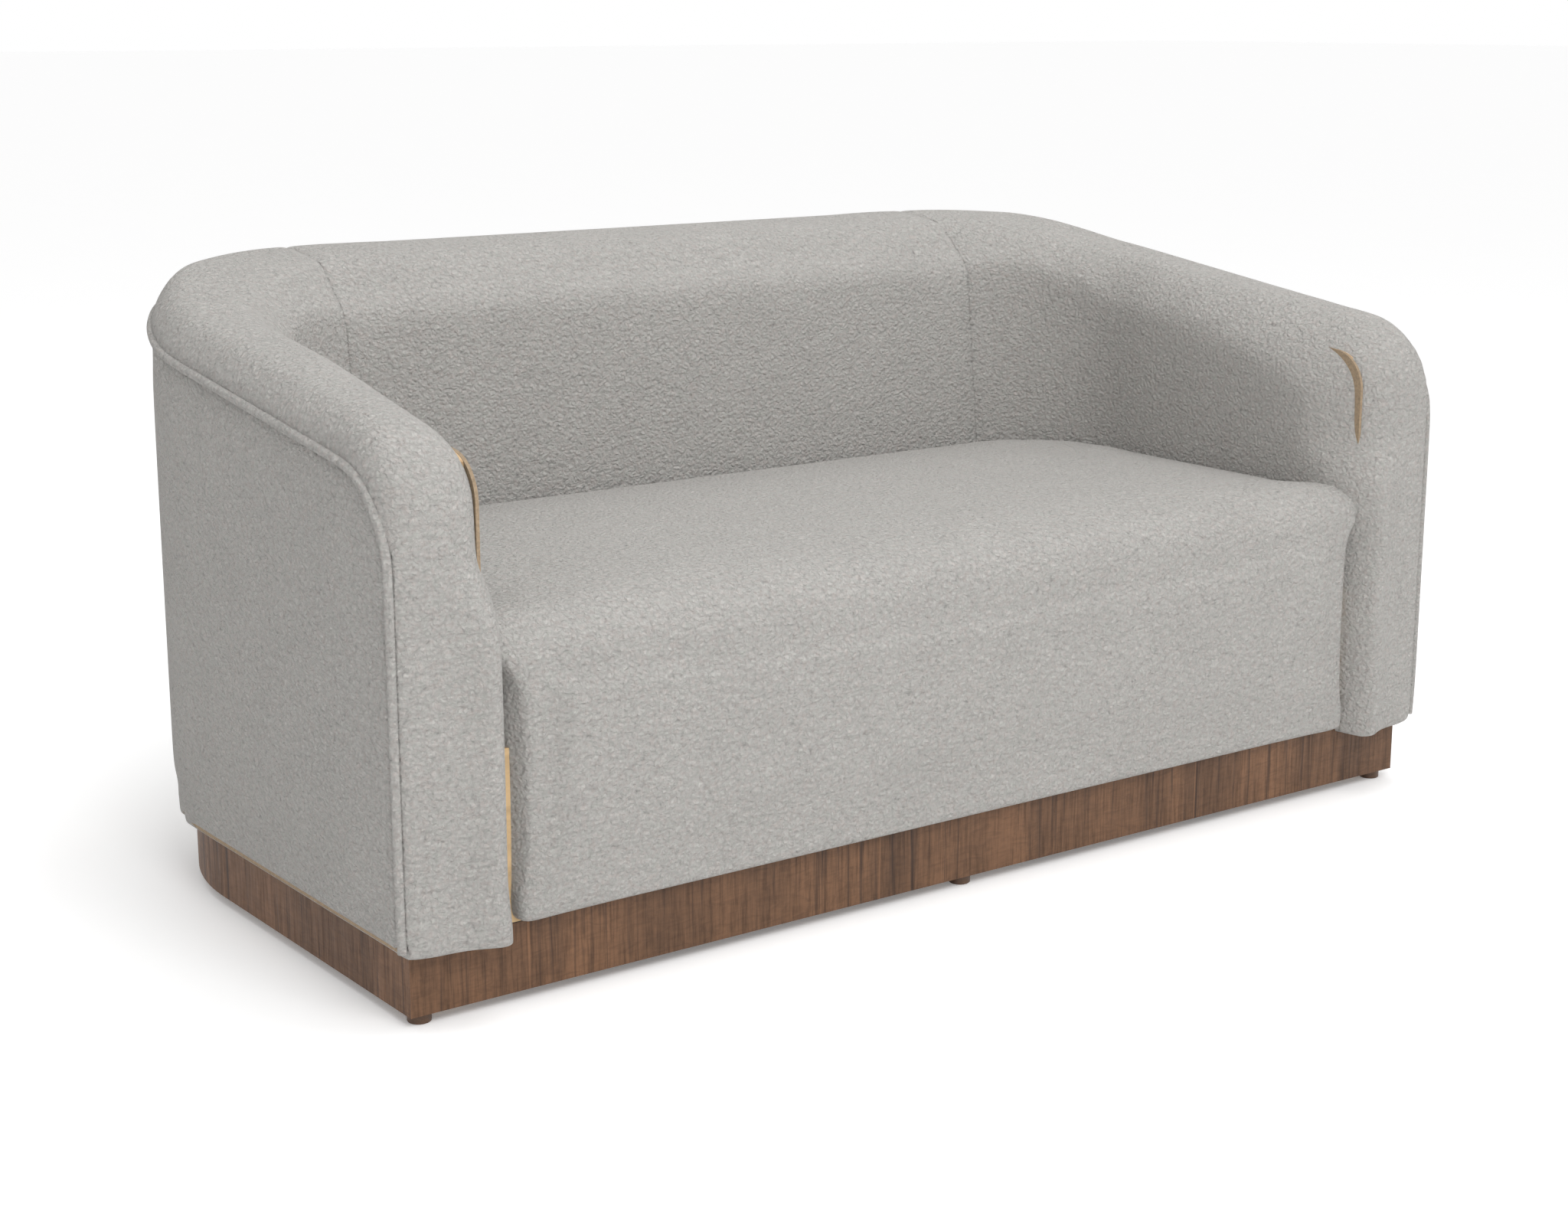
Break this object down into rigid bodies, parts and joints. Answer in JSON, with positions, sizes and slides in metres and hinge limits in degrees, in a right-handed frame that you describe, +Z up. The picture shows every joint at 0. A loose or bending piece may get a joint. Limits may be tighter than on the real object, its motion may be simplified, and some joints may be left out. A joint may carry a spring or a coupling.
{
  "type": "upholstered settee",
  "caption": "Tight-seat settee with wrap-round sloping arms, nubby light grey cloth and a low brown wooden plinth on small glides.",
  "frame": {"origin": "on the floor, in the middle of the footprint's bounding box", "axes": "+X along the settee to the right as seen from the front, -Y to the front, +Z up"},
  "size_m": [1.542, 0.868, 0.741],
  "materials": {
    "boucle_fabric": "nubby looped upholstery cloth, warm light grey",
    "walnut_plinth": "walnut brown satin wood with dark cross streaks",
    "frame_plywood": "bare plywood",
    "brace_pine": "bare softwood",
    "upholstery_foam": "open-cell upholstery foam",
    "grey_board": "thin fibreboard",
    "webbing": "elastic webbing",
    "dust_cloth": "black non-woven cloth",
    "tie_wire_paper": "paper-wrapped wire",
    "spring_steel": "bright steel",
    "dark_glide": "dark brown plastic"
  },
  "bodies": {
    "root": {"back_base_rib": "frame_plywood", "back_foam": "upholstery_foam", "back_left_upright": "frame_plywood", "back_middle_rib": "frame_plywood", "back_outside_board": "grey_board", "back_outside_cover": "boucle_fabric", "back_right_upright": "frame_plywood", "back_top_rib": "frame_plywood", "back_webbing": "webbing", "dust_cover": "dust_cloth", "floor_glides": "dark_glide", "frame_screws": "spring_steel", "glide_nails": "spring_steel", "inside_back_cover": "boucle_fabric", "left_arm_cover": "boucle_fabric", "left_arm_foam": "upholstery_foam", "left_arm_front_panel": "frame_plywood", "left_arm_middle_rib": "frame_plywood", "left_arm_upright": "frame_plywood", "left_base_rib": "frame_plywood", "left_corner_middle_rib": "frame_plywood", "left_inside_panel": "grey_board", "left_outside_board": "grey_board", "left_outside_cover": "boucle_fabric", "left_top_rib": "frame_plywood", "piping": "boucle_fabric", "platform_cloth": "dust_cloth", "plinth_back_board": "walnut_plinth", "plinth_braces": "brace_pine", "plinth_front_board": "walnut_plinth", "plinth_glue_blocks": "brace_pine", "plinth_left_board": "walnut_plinth", "plinth_left_corner": "walnut_plinth", "plinth_right_board": "walnut_plinth", "plinth_right_corner": "walnut_plinth", "right_arm_cover": "boucle_fabric", "right_arm_foam": "upholstery_foam", "right_arm_front_panel": "frame_plywood", "right_arm_middle_rib": "frame_plywood", "right_arm_upright": "frame_plywood", "right_base_rib": "frame_plywood", "right_corner_middle_rib": "frame_plywood", "right_inside_panel": "grey_board", "right_outside_board": "grey_board", "right_outside_cover": "boucle_fabric", "right_top_rib": "frame_plywood", "seat_back_rail": "brace_pine", "seat_centre_rail": "brace_pine", "seat_corner_blocks": "brace_pine", "seat_cover": "boucle_fabric", "seat_foam": "upholstery_foam", "seat_front_foam": "upholstery_foam", "seat_front_rail": "brace_pine", "seat_left_rail": "brace_pine", "seat_right_rail": "brace_pine", "seat_springs": "spring_steel", "spring_clips": "spring_steel", "spring_tie_wires": "tie_wire_paper"}
  },
  "joints": []
}
